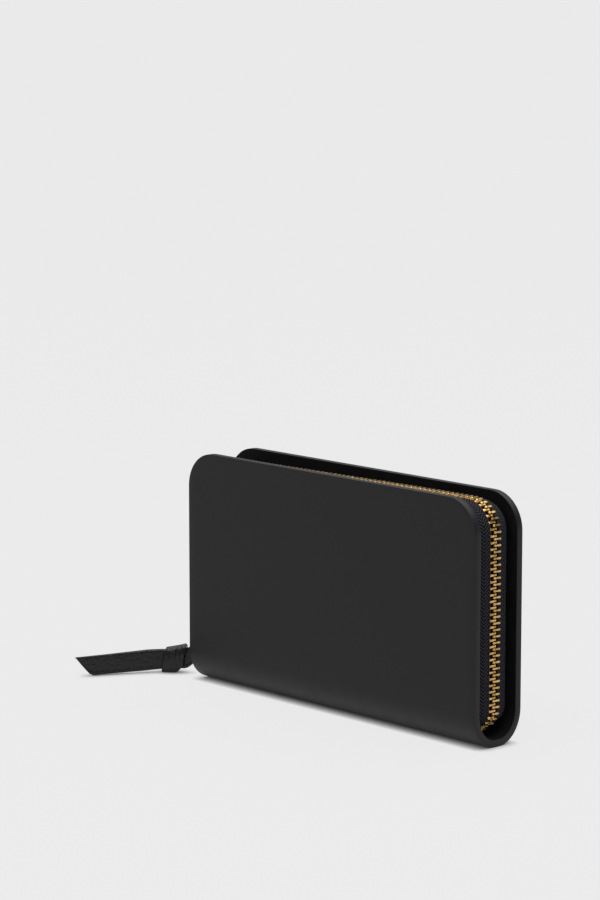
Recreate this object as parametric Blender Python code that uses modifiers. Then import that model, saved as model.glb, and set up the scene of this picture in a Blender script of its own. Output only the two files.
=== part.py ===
"""Zip-around wallet: a stiff leather cover bent into a U at the spine, a metal zip on three sides,
card slots, two note compartments and a zipped coin pocket inside.

+X runs along the wallet, the front cover faces -Y and the wallet stands on its spine, which touches
Z = 0 at the origin. The zip is closed: its slider is at the lower left, with a knotted leather pull.
"""

import math

import bmesh
import bpy
from mathutils import Vector

MM = 0.001

# Driving dimensions, in metres.
LENGTH = 170 * MM
HEIGHT = 100 * MM
DEPTH = 26.5 * MM
WALL = 3.0 * MM
CORNER_R = 15 * MM
BEND_H = 14 * MM
BASE_FLAT = 4.0 * MM
GAP = 0.3 * MM
HINGE_Z = 3.5 * MM
EDGE_ROUND = 0.8 * MM

# The zip's rail is the covers' outline. Everything on it is set back from that line by a recess.
CHAIN_RECESS = 1.6 * MM
TOOTH_THICK = 2.2 * MM
TOOTH_PITCH = 2.6 * MM
TOOTH_WIDE = 1.0 * MM
TOOTH_OUTER_Y = 3.0 * MM
TOOTH_TIP_Y = -0.9 * MM
BEAD_INNER_Y = 1.9 * MM
TAPE_THICK = 0.45 * MM
TAPE_INNER_Y = 3.3 * MM
TAPE_ROUND_Y = 2.0 * MM
TAPE_EDGE_RECESS = 7.0 * MM
RUN_OUT_R = 10.6 * MM
RUN_OUT_Z = 13.5 * MM
RUN_OUT_TURN = 65
LEFT_END_Z = 4.6 * MM

# Interior leather, each layer set off from the middle plane.
LINING_THICK = 0.5 * MM
CARD_THICK = 0.45 * MM
CARD_WIDE = 96 * MM
CARD_TOPS = (88 * MM, 72 * MM, 56 * MM)
LINING_EDGE = 7.5 * MM
INNER_FLOOR_Z = 16 * MM
GUSSET_TOP_Z = 78 * MM
GUSSET_THICK = 0.4 * MM

COIN_LONG = 136 * MM
COIN_LOW_Z = 6.5 * MM
COIN_TOP_Z = 74 * MM
COIN_HALF = 2.75 * MM
COIN_WALL = 0.6 * MM
COIN_STRIP_THICK = 0.8 * MM
COIN_STRIP_TOP_Z = COIN_TOP_Z - 6 * MM
COIN_CHAIN_Z = COIN_TOP_Z + 2.9 * MM
COIN_CHAIN_HALF = 2.1 * MM
COIN_TOOTH_THICK = 1.6 * MM
COIN_TOOTH_PITCH = 2.0 * MM
COIN_TOOTH_WIDE = 0.7 * MM
COIN_TEETH = 62
COIN_SLIDER_X = 59.5 * MM
COIN_SLIDER_HALF = 3.6 * MM
COIN_CAP_THICK = 0.8 * MM
COIN_TAB_LONG = 13 * MM
COIN_TAB_THICK = 0.7 * MM

SLIDER_LOW_Z = 6.3 * MM
SLIDER_LONG = 11 * MM
BAIL_REACH = 3.05 * MM
BAIL_OPENING = 7.5 * MM
STRAP_THICK = 1.1 * MM
STRAP_WIDE = 8.6 * MM
STRAP_AT_BAIL = 6.9 * MM
KNOT_LIFT = 1.95 * MM

INNER_Y = DEPTH / 2 - WALL
TAPE_OUTER_Y = INNER_Y - GAP
TAPE_RECESS = CHAIN_RECESS + (TOOTH_THICK - TAPE_THICK) / 2
LINING_Y = INNER_Y - GAP - LINING_THICK / 2
CARD_Y = LINING_Y - LINING_THICK / 2 - GAP - CARD_THICK / 2
SLIDER_MID_Z = SLIDER_LOW_Z + SLIDER_LONG / 2
SLIDER_OUTER_X = -LENGTH / 2 + CHAIN_RECESS - 2 * GAP - 0.6 * MM
BAIL_X = SLIDER_OUTER_X - BAIL_REACH


def clear_scene():
    for obj in list(bpy.data.objects):
        bpy.data.objects.remove(obj, do_unlink=True)


def new_collection(name):
    collection = bpy.data.collections.new(name)
    bpy.context.scene.collection.children.link(collection)
    return collection


def make_material(name, colour, roughness, metallic=0.0):
    material = bpy.data.materials.new(name)
    material.use_nodes = True
    shader = material.node_tree.nodes["Principled BSDF"]
    shader.inputs["Base Color"].default_value = (*colour, 1.0)
    shader.inputs["Roughness"].default_value = roughness
    shader.inputs["Metallic"].default_value = metallic
    material.diffuse_color = (*colour, 1.0)
    return material


clear_scene()
PARTS = new_collection("zip_around_wallet")
CUTTERS = new_collection("cutters")

COVER_LEATHER = make_material("cover_leather", (0.024, 0.024, 0.026), 0.5)
INNER_LEATHER = make_material("inner_leather", (0.018, 0.018, 0.02), 0.6)
PULL_LEATHER = make_material("pull_leather", (0.02, 0.02, 0.022), 0.45)
TAPE_CLOTH = make_material("tape_cloth", (0.012, 0.012, 0.02), 0.9)
GUSSET_CLOTH = make_material("gusset_cloth", (0.014, 0.014, 0.016), 0.85)
BRASS = make_material("brass", (0.62, 0.42, 0.16), 0.3, 1.0)


def add_part(name, data, material, parent=None, collection=PARTS):
    obj = bpy.data.objects.new(name, data)
    collection.objects.link(obj)
    if material:
        data.materials.append(material)
    if parent:
        obj.parent = parent
        obj.location = -parent.location
    return obj


def add_pivot(name, location):
    """An empty on a joint's axis. The parts of the body that turns or slides hang from it."""
    pivot = bpy.data.objects.new(name, None)
    pivot.location = location
    pivot.empty_display_size = 5 * MM
    PARTS.objects.link(pivot)
    return pivot


def solidify(obj, thickness, offset=0.0):
    modifier = obj.modifiers.new("thickness", "SOLIDIFY")
    modifier.thickness = thickness
    modifier.offset = offset
    modifier.use_even_offset = True
    return obj


def shade_smooth(mesh, sharp_degrees=35):
    mesh.shade_smooth()
    mesh.set_sharp_from_angle(angle=math.radians(sharp_degrees))


def arc(centre, radius, start, end, steps):
    """Points on an arc, in degrees, as (first, second) coordinates in its plane."""
    angles = [math.radians(start + (end - start) * i / steps) for i in range(steps + 1)]
    return [
        (centre[0] + radius * math.cos(a), centre[1] + radius * math.sin(a)) for a in angles
    ]


def top_rounded(half_long, low, high, radius, steps=8):
    """The outline of a panel with two round upper corners, in X and Z."""
    return (
        [(-half_long, low), (half_long, low)]
        + arc((half_long - radius, high - radius), radius, 0, 90, steps)
        + arc((-half_long + radius, high - radius), radius, 90, 180, steps)
    )


def panel(name, outline, y, thickness, material, edge=0.0, parent=None):
    """A flat panel in the XZ plane, from a 2D curve, centred on y, with its edges rounded by edge."""
    curve = bpy.data.curves.new(name, "CURVE")
    curve.dimensions = "2D"
    curve.fill_mode = "BOTH"
    curve.extrude = thickness / 2 - edge
    curve.bevel_depth = edge
    curve.bevel_resolution = 1
    curve.offset = -edge
    spline = curve.splines.new("POLY")
    spline.points.add(len(outline) - 1)
    for point, (x, z) in zip(spline.points, outline):
        point.co = (x, z, 0, 1)
    spline.use_cyclic_u = True
    obj = add_part(name, curve, material, parent)
    obj.rotation_euler = (math.radians(90), 0, 0)
    obj.location += Vector((0, y, 0))
    return obj


def grid_surface(name, rows, material, parent=None, skip=()):
    """An open surface through rows of points, with the same number of points in each row."""
    mesh = bpy.data.meshes.new(name)
    bm = bmesh.new()
    lines = [[bm.verts.new(p) for p in row] for row in rows]
    for i in range(len(lines) - 1):
        for j in range(len(lines[i]) - 1):
            if (i, j) not in skip:
                a, b = lines[i], lines[i + 1]
                bm.faces.new((a[j], a[j + 1], b[j + 1], b[j]))
    loose = [v for v in bm.verts if not v.link_faces]
    bmesh.ops.delete(bm, geom=loose, context="VERTS")
    bm.to_mesh(mesh)
    bm.free()
    return add_part(name, mesh, material, parent)


def block(name, low, high, material=None, parent=None, collection=PARTS):
    """A box between two corners, from a unit cube."""
    low, high = Vector(low), Vector(high)
    mesh = bpy.data.meshes.new(name)
    bm = bmesh.new()
    bmesh.ops.create_cube(bm, size=1.0)
    bmesh.ops.scale(bm, vec=high - low, verts=bm.verts)
    bmesh.ops.translate(bm, vec=(high + low) / 2, verts=bm.verts)
    bm.to_mesh(mesh)
    bm.free()
    return add_part(name, mesh, material, parent, collection)


def helper_block(name, low, high):
    obj = block(name, low, high, collection=CUTTERS)
    obj.hide_render = True
    obj.display_type = "WIRE"
    return obj


def boolean(obj, helper, operation):
    modifier = obj.modifiers.new(helper.name, "BOOLEAN")
    modifier.operation = operation
    modifier.object = helper
    modifier.solver = "EXACT"


def extruded(name, outline, plane, low, high, material, parent=None):
    """A prism: outline in the plane "YZ", "XZ" or "XY", extruded along the third axis."""
    mesh = bpy.data.meshes.new(name)
    bm = bmesh.new()
    place = {
        "YZ": lambda a, b: (low, a, b),
        "XZ": lambda a, b: (a, low, b),
        "XY": lambda a, b: (a, b, low),
    }[plane]
    along = {"YZ": (1, 0, 0), "XZ": (0, 1, 0), "XY": (0, 0, 1)}[plane]
    face = bm.faces.new([bm.verts.new(place(a, b)) for a, b in outline])
    made = bmesh.ops.extrude_face_region(bm, geom=[face])
    moved = [v for v in made["geom"] if isinstance(v, bmesh.types.BMVert)]
    bmesh.ops.translate(bm, vec=Vector(along) * (high - low), verts=moved)
    bmesh.ops.recalc_face_normals(bm, faces=bm.faces)
    bm.to_mesh(mesh)
    bm.free()
    return add_part(name, mesh, material, parent)


# The cover.


def bend_profile(inset, steps):
    """The U of the spine in Y and Z, from back to front: two quarter ellipses and a flat foot."""
    flat = BASE_FLAT / 2
    half_y = DEPTH / 2 - flat - inset
    half_z = BEND_H - inset
    back = [
        (flat + half_y * math.cos(a), BEND_H - half_z * math.sin(a))
        for a in (math.pi / 2 * i / steps for i in range(steps + 1))
    ]
    return back + [(-y, z) for y, z in reversed(back)]


def bend_half_width(z, inset):
    """The Y of the bend's surface at a height, that far inside the outer face."""
    flat = BASE_FLAT / 2
    drop = min(1.0, max(0.0, (BEND_H - z) / (BEND_H - inset)))
    return flat + (DEPTH / 2 - flat - inset) * math.sqrt(1 - drop * drop)


def bend_sheet(name, half_long, inset, thickness, material):
    """A U-shaped sheet along the wallet whose outer face lies inset from the cover's outer face."""
    rows = [
        [(-half_long, y, z), (half_long, y, z)]
        for y, z in bend_profile(inset, 12)
    ]
    rows = [[(x, y, min(z, BEND_H - GAP)) for x, y, z in row] for row in rows]
    obj = grid_surface(name, rows, material)
    shade_smooth(obj.data, 60)
    return solidify(obj, thickness, offset=-1.0)


def make_cover(front):
    outline = top_rounded(LENGTH / 2, BEND_H, HEIGHT, CORNER_R, 10)
    y = (DEPTH - WALL) / 2
    panel("cover_back_panel", outline, y, WALL, COVER_LEATHER, EDGE_ROUND)
    panel("cover_front_panel", outline, -y, WALL, COVER_LEATHER, EDGE_ROUND, front)
    bend_sheet("cover_spine", LENGTH / 2, 0.0, WALL, COVER_LEATHER)


# The lining, the card slots and the gussets.


def make_lining(front):
    half_long = LENGTH / 2 - LINING_EDGE - 0.2 * MM
    high = HEIGHT - LINING_EDGE
    outline = top_rounded(half_long, BEND_H + GAP, high, CORNER_R - LINING_EDGE, 6)
    panel("lining_back", outline, LINING_Y, LINING_THICK, INNER_LEATHER)
    panel("lining_front", outline, -LINING_Y, LINING_THICK, INNER_LEATHER, parent=front)
    half_spine = LENGTH / 2 - 10.5 * MM
    bend_sheet("lining_spine", half_spine, WALL + GAP, LINING_THICK, INNER_LEATHER)


def make_card_slots(front):
    """Three stacked slot panels a side: a full-width one, and two shorter ones in front of it."""
    half_longs = (LENGTH / 2 - 8.5 * MM, CARD_WIDE / 2, CARD_WIDE / 2)
    for layer, (half_long, top) in enumerate(zip(half_longs, CARD_TOPS)):
        y = CARD_Y - layer * (CARD_THICK + GAP)
        outline = top_rounded(half_long, INNER_FLOOR_Z, top, 4 * MM, 4)
        number = layer + 1
        panel(f"card_slot_back_{number}", outline, y, CARD_THICK, INNER_LEATHER)
        panel(f"card_slot_front_{number}", outline, -y, CARD_THICK, INNER_LEATHER, parent=front)


def make_gussets():
    """Bellows at both ends: folded in beside the coin pocket, whose side seam holds the middle.
    The plan is a W in X and Y, here from its middle fold to the lining at the back."""
    half = [(68.7, 0.0), (68.7, 3.3), (57.5, 5.2), (77.0, 8.15)]
    plan = [(x, -y) for x, y in reversed(half[1:])] + half
    for name, side in (("gusset_left", -1), ("gusset_right", 1)):
        rows = [
            [(side * x * MM, y * MM, z) for z in (INNER_FLOOR_Z, GUSSET_TOP_Z)]
            for x, y in plan
        ]
        solidify(grid_surface(name, rows, GUSSET_CLOTH), GUSSET_THICK)


# The zip around three sides.


def rail_stations(turn=RUN_OUT_TURN):
    """(centre x, centre z, radius, angle) along the covers' outline, from lower right to lower left.
    A station's point is its centre plus the radius less a recess, at its angle."""
    run_out_x = LENGTH / 2 - RUN_OUT_R
    side_x = LENGTH / 2 - CORNER_R
    corner_z = HEIGHT - CORNER_R
    low = [(run_out_x, RUN_OUT_Z, RUN_OUT_R, turn * (i / 5 - 1)) for i in range(6)]
    right = [(side_x, corner_z, CORNER_R, 15 * i) for i in range(7)]
    left = [(-side_x, corner_z, CORNER_R, 90 + 15 * i) for i in range(7)]
    return low + right + left + [(-side_x, LEFT_END_Z, CORNER_R, 180)]


def tape_recess(y):
    """How far the tape lies inside the covers' outline: it falls away from the chain in a round."""
    share = (y - TAPE_ROUND_Y) / (TAPE_OUTER_Y - TAPE_ROUND_Y)
    return TAPE_RECESS + (TAPE_EDGE_RECESS - TAPE_RECESS) * (1 - math.sqrt(1 - share * share))


def tape_point(station, y, side):
    x, z, radius, angle = station
    reach = radius - tape_recess(y)
    at = math.radians(angle)
    height = z + reach * math.sin(at)
    width = min(y, bend_half_width(height, WALL) - GAP - TAPE_THICK / 3)
    return (x + reach * math.cos(at), side * width, height)


def zip_tape(name, side, parent=None):
    """One half of the tape, from the teeth out to the cover's inner face."""
    offsets = [y * MM for y in (3.3, 5.3, 7.3, 8.9, 9.8)]
    stations = rail_stations(78)
    stations.insert(-1, (stations[-1][0], 17 * MM, CORNER_R, 180))
    stations.insert(-1, (stations[-1][0], 10 * MM, CORNER_R, 180))
    rows = [[tape_point(station, y, side) for y in offsets] for station in stations]
    obj = grid_surface(name, rows, TAPE_CLOTH, parent)
    shade_smooth(obj.data, 60)
    return solidify(obj, TAPE_THICK)


def rail_frame(along, recess):
    """The point and outward angle at a distance along the rail, measured from the lower right."""
    stations = rail_stations()
    points = []
    for x, z, radius, angle in stations:
        at = math.radians(angle)
        reach = radius - recess
        points.append((x + reach * math.cos(at), z + reach * math.sin(at), angle))
    for (x0, z0, a0), (x1, z1, a1) in zip(points, points[1:]):
        step = math.hypot(x1 - x0, z1 - z0)
        if along <= step:
            share = along / step
            return x0 + (x1 - x0) * share, z0 + (z1 - z0) * share, a0 + (a1 - a0) * share
        along -= step
    return points[-1]


def tooth_comb(name, side, first, last, start, parent=None):
    """A row of teeth on its bead, from tooth number first to last, bent along the rail."""
    recess = CHAIN_RECESS + TOOTH_THICK / 2
    offset = 0.0 if side < 0 else TOOTH_PITCH / 2
    lines = [side * TOOTH_OUTER_Y, side * BEAD_INNER_Y, side * TOOTH_TIP_Y]
    rows = []
    for number in range(first, last + 1):
        middle = start + offset + number * TOOTH_PITCH
        for along in (middle - TOOTH_WIDE / 2, middle + TOOTH_WIDE / 2):
            x, z, _ = rail_frame(along, recess)
            rows.append([(x, y, z) for y in lines])
    gaps = {(row, 1) for row in range(1, len(rows) - 1, 2)}
    obj = grid_surface(name, rows, BRASS, parent, skip=gaps)
    return solidify(obj, TOOTH_THICK)


def rail_length(recess, stop):
    """The length of the rail up to the station before the one numbered stop."""
    total = 0.0
    last = None
    for x, z, radius, angle in rail_stations()[:stop]:
        at = math.radians(angle)
        point = (x + (radius - recess) * math.cos(at), z + (radius - recess) * math.sin(at))
        if last:
            total += math.dist(last, point)
        last = point
    return total


def make_zip(front):
    zip_tape("zip_tape_back", 1)
    zip_tape("zip_tape_front", -1, front)
    recess = CHAIN_RECESS + TOOTH_THICK / 2
    start = 0.8 * MM
    corner_end = rail_length(recess, 19) - start
    chain_end = corner_end + HEIGHT - CORNER_R - 13.4 * MM
    split = int(corner_end / TOOTH_PITCH)
    final = int(chain_end / TOOTH_PITCH) - 1
    for side, word, parent in ((1, "back", None), (-1, "front", front)):
        tooth_comb(f"zip_teeth_{word}", side, 0, split, start, parent)
        tooth_comb(f"zip_teeth_{word}_left", side, split + 1, final, start, parent)
        low = min(side * 1.2 * MM, side * 2.9 * MM)
        high = max(side * 1.2 * MM, side * 2.9 * MM)
        outer = -LENGTH / 2 + CHAIN_RECESS
        block(
            f"zip_top_stop_{word}",
            (outer, low, LEFT_END_Z),
            (outer + TOOTH_THICK, high, SLIDER_LOW_Z - GAP),
            BRASS,
            parent,
        )
    make_bottom_stop(recess)


def make_bottom_stop(recess):
    """The clamp that joins both halves where the chain starts, turned with the end of the rail."""
    stop = block(
        "zip_bottom_stop",
        (-TOOTH_THICK / 2, -2.9 * MM, -0.7 * MM),
        (TOOTH_THICK / 2, 2.9 * MM, 0.7 * MM),
        BRASS,
    )
    at = math.radians(-RUN_OUT_TURN - 12)
    reach = RUN_OUT_R - recess
    stop.rotation_euler = (0, -at, 0)
    stop.location = (
        LENGTH / 2 - RUN_OUT_R + reach * math.cos(at),
        0,
        RUN_OUT_Z + reach * math.sin(at),
    )


# The slider and its leather pull.


def make_slider(slider):
    """Two plates joined by a post at the lower end, with a channel for the chain between them."""
    low, high = SLIDER_LOW_Z, SLIDER_LOW_Z + SLIDER_LONG
    inner_x = -LENGTH / 2 + CHAIN_RECESS + TOOTH_THICK + 2 * GAP + 0.6 * MM
    half = [(3.4, 0.0), (4.6, 1.3), (4.6, 4.0), (4.0, 6.5), (4.0, 10.0), (3.2, 11.0)]
    outline = [(y * MM, low + z * MM) for y, z in half]
    outline += [(-y, z) for y, z in reversed(outline)]
    body = extruded("slider_body", outline, "YZ", SLIDER_OUTER_X, inner_x, BRASS, slider)
    chain_out = -LENGTH / 2 + CHAIN_RECESS - GAP
    chain_in = chain_out + TOOTH_THICK + 2 * GAP
    channel = helper_block(
        "slider_channel",
        (chain_out, -TAPE_INNER_Y - 0.05 * MM, low - 1 * MM),
        (chain_in, TAPE_INNER_Y + 0.05 * MM, high + 1 * MM),
    )
    tape_x = -LENGTH / 2 + TAPE_RECESS
    slot = helper_block(
        "slider_tape_slots",
        (tape_x - 0.55 * MM, -6 * MM, low - 1 * MM),
        (tape_x + 0.65 * MM, 6 * MM, high + 1 * MM),
    )
    post = helper_block(
        "slider_post",
        (SLIDER_OUTER_X + 0.3 * MM, -0.9 * MM, low + 1.2 * MM),
        (inner_x - 0.3 * MM, 0.9 * MM, low + 5.2 * MM),
    )
    boolean(body, channel, "DIFFERENCE")
    boolean(body, slot, "DIFFERENCE")
    boolean(body, post, "UNION")
    reach = BAIL_REACH + 0.55 * MM
    foot = 1.3 * MM
    half_long = BAIL_OPENING / 2 + foot
    out = SLIDER_OUTER_X - GAP
    tip = SLIDER_OUTER_X - reach
    under = tip + 1.1 * MM
    mid = SLIDER_MID_Z
    bail = [
        (out, mid - half_long),
        (tip + 1.2 * MM, mid - half_long),
        (tip, mid - half_long + 1.2 * MM),
        (tip, mid + half_long - 1.2 * MM),
        (tip + 1.2 * MM, mid + half_long),
        (out, mid + half_long),
        (out, mid + half_long - foot),
        (under, mid + half_long - foot),
        (under, mid - half_long + foot),
        (out, mid - half_long + foot),
    ]
    extruded("slider_bail", bail, "XZ", -0.8 * MM, 0.8 * MM, BRASS, slider)


def pull_centre_line():
    """The strap's middle line in X and Y, from the bail to the tip: out, then round to the front."""
    near = [(0, 0), (-6.6, -3.9), (-13.2, -8.6), (-17.8, -13.4)]
    route = [*near, (-22.2, -20.6), (-28.4, -31.4), (-35.2, -45.8)]
    return [Vector((BAIL_X + x * MM, y * MM)) for x, y in route]


def smooth_route(points, steps):
    """A Catmull-Rom curve through the points, with steps to each span."""
    padded = [2 * points[0] - points[1], *points, 2 * points[-1] - points[-2]]
    result = []
    for i in range(1, len(padded) - 2):
        a, b, c, d = padded[i - 1 : i + 3]
        for step in range(steps):
            t = step / steps
            result.append(
                0.5 * (2 * b + (c - a) * t + (2 * a - 5 * b + 4 * c - d) * t * t
                       + (3 * b - a - 3 * c + d) * t * t * t)
            )
    return [*result, points[-1]]


def strap_height(share):
    """The strap's lower and upper edge at a share of its length from the bail to the tip."""
    drop = min(1.0, share / 0.3)
    ease = drop * drop * (3 - 2 * drop)
    middle = SLIDER_MID_Z + (STRAP_WIDE / 2 + KNOT_LIFT - SLIDER_MID_Z) * ease
    middle -= (KNOT_LIFT - 0.05 * MM) * max(0.0, (share - 0.3) / 0.7)
    half = (STRAP_AT_BAIL + (STRAP_WIDE - STRAP_AT_BAIL) * ease) / 2
    return middle - half, middle + half


def make_pull(pull):
    """One strip looped round the bail, its two ends laid together, and the knot's band round both."""
    line = smooth_route(pull_centre_line(), 3)
    apart = (STRAP_THICK + GAP) / 2
    loop_r = 1.27 * MM + STRAP_THICK / 2
    slanted = 2
    sides = []
    count = len(line) - 1
    for sign in (1, -1):
        side = []
        for i in range(2, count + 1):
            share = i / count
            ahead = line[min(i + 1, count)] - line[i - 1]
            across = Vector((-ahead.y, ahead.x)).normalized()
            spread = apart + (loop_r - apart) * max(0.0, 1 - i / 5) ** 2
            low, high = strap_height(share)
            if i > count - slanted:
                low += (high - low - 0.8 * MM) * (i - count + slanted) / slanted
            side.append((line[i] + across * spread * sign, low, high))
        sides.append(side)
    heading = (line[1] - line[0]).normalized()
    turn = math.atan2(heading.y, heading.x)
    low, high = strap_height(0.0)
    loop = []
    for x, y in arc((BAIL_X, 0.0), loop_r, math.degrees(turn) + 90, math.degrees(turn) + 270, 8):
        loop.append((Vector((x, y)), low, high))
    path = [*reversed(sides[0]), *loop, *sides[1]]
    rows = [[(p.x, p.y, low), (p.x, p.y, high)] for p, low, high in path]
    solidify(grid_surface("pull_strap", rows, PULL_LEATHER, pull), STRAP_THICK)
    make_pull_knot(pull, line)


def make_pull_knot(pull, line):
    """The knot's band: a rounded rectangular ring round both layers of the strap."""
    band_long = 7.4 * MM
    thick = 1.2 * MM
    middle = line[6]
    heading = (line[7] - line[5]).normalized()
    inner_across = STRAP_THICK + GAP * 2.5
    low, high = strap_height(6 / (len(line) - 1))
    centre_z = (low + high) / 2
    half_z = (high - low) / 2 + GAP * 1.5
    ring = []
    for sx, sz in ((1, 1), (-1, 1), (-1, -1), (1, -1)):
        ring.append((sx * (inner_across + thick / 2), sz * (half_z + thick / 2)))
    across = Vector((-heading.y, heading.x))
    rows = []
    for a, b in [*ring, ring[0]]:
        base = middle + across * a
        ends = (base - heading * band_long / 2, base + heading * band_long / 2)
        rows.append([(p.x, p.y, centre_z + b) for p in ends])
    knot = grid_surface("pull_knot", rows, PULL_LEATHER, pull)
    weld = knot.modifiers.new("join the ring", "WELD")
    weld.merge_threshold = 0.00001
    solidify(knot, thick)


# The coin pocket.


def coin_teeth(name, side, parent):
    """A straight row of small teeth on its bead, along the top of the coin pocket."""
    stagger = 0.0 if side < 0 else COIN_TOOTH_PITCH / 2
    start = -(COIN_TEETH - 0.5) * COIN_TOOTH_PITCH / 2 + stagger - 2.5 * MM
    lines = [side * COIN_CHAIN_HALF, side * 1.2 * MM, side * -0.55 * MM]
    z = COIN_CHAIN_Z + COIN_TOOTH_THICK / 2
    rows = []
    for number in range(COIN_TEETH):
        middle = start + number * COIN_TOOTH_PITCH
        for x in (middle - COIN_TOOTH_WIDE / 2, middle + COIN_TOOTH_WIDE / 2):
            rows.append([(x, y, z) for y in lines])
    gaps = {(row, 1) for row in range(1, len(rows) - 1, 2)}
    obj = grid_surface(name, rows, BRASS, parent, skip=gaps)
    return solidify(obj, COIN_TOOTH_THICK)


def make_coin_pocket(center):
    half_long = COIN_LONG / 2
    wall_y = COIN_HALF - COIN_WALL / 2
    outline = top_rounded(half_long, COIN_LOW_Z, COIN_TOP_Z, 3 * MM, 4)
    panel("coin_wall_front", outline, -wall_y, COIN_WALL, INNER_LEATHER, parent=center)
    panel("coin_wall_back", outline, wall_y, COIN_WALL, INNER_LEATHER, parent=center)
    strip_y = COIN_HALF - COIN_WALL - GAP
    plan = [
        (-half_long, COIN_STRIP_TOP_Z),
        (-half_long, COIN_LOW_Z),
        (half_long, COIN_LOW_Z),
        (half_long, COIN_STRIP_TOP_Z),
    ]
    rows = [[(x, y, z) for y in (-strip_y, strip_y)] for x, z in plan]
    strip = grid_surface("coin_gusset", rows, GUSSET_CLOTH, center)
    solidify(strip, COIN_STRIP_THICK, offset=-1.0)
    for word, side in (("front", -1), ("back", 1)):
        near, far = sorted((side * 1.45 * MM, side * 1.85 * MM))
        block(
            f"coin_tape_{word}",
            (-half_long + 2 * MM, near, COIN_STRIP_TOP_Z + GAP),
            (half_long - 2 * MM, far, COIN_CHAIN_Z - GAP),
            TAPE_CLOTH,
            center,
        )
        coin_teeth(f"coin_teeth_{word}", side, center)
    for word, x in (("start", -66.2 * MM), ("end", 65.2 * MM)):
        block(
            f"coin_stop_{word}",
            (x - 0.6 * MM, -COIN_CHAIN_HALF, COIN_CHAIN_Z),
            (x + 0.6 * MM, COIN_CHAIN_HALF, COIN_CHAIN_Z + COIN_TOOTH_THICK),
            BRASS,
            center,
        )


def make_coin_slider(slider, pull):
    """A small slider over the chain: cap, side flanges, post and a foot plate between the tapes."""
    x = slider.location.x
    low_x = x - COIN_SLIDER_HALF
    high_x = x + COIN_SLIDER_HALF
    wide = 2.9 * MM
    chain_top = COIN_CHAIN_Z + COIN_TOOTH_THICK + GAP
    cap_top = chain_top + COIN_CAP_THICK
    cap = block("coin_slider", (low_x, -wide, chain_top), (high_x, wide, cap_top), BRASS, slider)
    for word, side in (("front", -1), ("back", 1)):
        near, far = sorted((side * (COIN_CHAIN_HALF + GAP), side * wide))
        flange = helper_block(
            f"coin_flange_{word}",
            (low_x, near, COIN_CHAIN_Z + 0.2 * MM),
            (high_x, far, chain_top + 0.2 * MM),
        )
        boolean(cap, flange, "UNION")
    post_low = COIN_CHAIN_Z - GAP - 0.4 * MM
    post = helper_block(
        "coin_post",
        (high_x - 2.2 * MM, -0.7 * MM, post_low),
        (high_x - 0.6 * MM, 0.7 * MM, chain_top + 0.2 * MM),
    )
    foot = helper_block(
        "coin_foot",
        (low_x, -1.1 * MM, COIN_CHAIN_Z - GAP - 0.8 * MM),
        (high_x, 1.1 * MM, COIN_CHAIN_Z - GAP),
    )
    boolean(cap, post, "UNION")
    boolean(cap, foot, "UNION")
    top = cap_top + GAP
    arch = [
        (x - 2.6 * MM, top),
        (x - 2.6 * MM, top + 1.6 * MM),
        (x - 1.9 * MM, top + 2.3 * MM),
        (x + 1.9 * MM, top + 2.3 * MM),
        (x + 2.6 * MM, top + 1.6 * MM),
        (x + 2.6 * MM, top),
        (x + 1.7 * MM, top),
        (x + 1.7 * MM, top + 1.4 * MM),
        (x - 1.7 * MM, top + 1.4 * MM),
        (x - 1.7 * MM, top),
    ]
    extruded("coin_bail", arch, "XZ", -0.6 * MM, 0.6 * MM, BRASS, slider)
    make_coin_pull(pull)


def make_coin_pull(pull):
    """A small brass tab lying flat, with an eye round the bail's far leg."""
    axis = pull.location
    tip = COIN_TAB_LONG - 0.75 * MM
    outline = [
        (axis.x - 0.75 * MM, -1.3 * MM),
        (axis.x - 0.75 * MM, 1.3 * MM),
        (axis.x + tip - 1 * MM, 2.0 * MM),
        (axis.x + tip, 1.2 * MM),
        (axis.x + tip, -1.2 * MM),
        (axis.x + tip - 1 * MM, -2.0 * MM),
    ]
    low, high = axis.z - COIN_TAB_THICK / 2, axis.z + COIN_TAB_THICK / 2
    tab = extruded("coin_pull", outline, "XY", low, high, BRASS, pull)
    eye_cut = helper_block(
        "coin_pull_eye",
        (axis.x + 0.2 * MM, -0.95 * MM, low - 1 * MM),
        (axis.x + 2.6 * MM, 0.95 * MM, high + 1 * MM),
    )
    boolean(tab, eye_cut, "DIFFERENCE")


def main():
    hinge = (0, 0, HINGE_Z)
    front = add_pivot("front_pivot", hinge)
    center = add_pivot("center_pivot", hinge)
    slider = add_pivot("slider_run", (SLIDER_OUTER_X, 0, SLIDER_MID_Z))
    pull = add_pivot("pull_pivot", (BAIL_X, 0, SLIDER_MID_Z))
    coin_top = COIN_CHAIN_Z + COIN_TOOTH_THICK + 2 * GAP + COIN_CAP_THICK
    coin_slider = add_pivot("coin_slider_run", (COIN_SLIDER_X, 0, COIN_CHAIN_Z))
    tab_axis = (COIN_SLIDER_X + 0.8 * MM, 0, coin_top + COIN_TAB_THICK)
    coin_pull = add_pivot("coin_pull_pivot", tab_axis)
    make_cover(front)
    make_lining(front)
    make_card_slots(front)
    make_gussets()
    make_zip(front)
    make_slider(slider)
    make_pull(pull)
    make_coin_pocket(center)
    make_coin_slider(coin_slider, coin_pull)


main()
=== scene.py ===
import math
import random

import bmesh
import bpy
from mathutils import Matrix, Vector, noise


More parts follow.
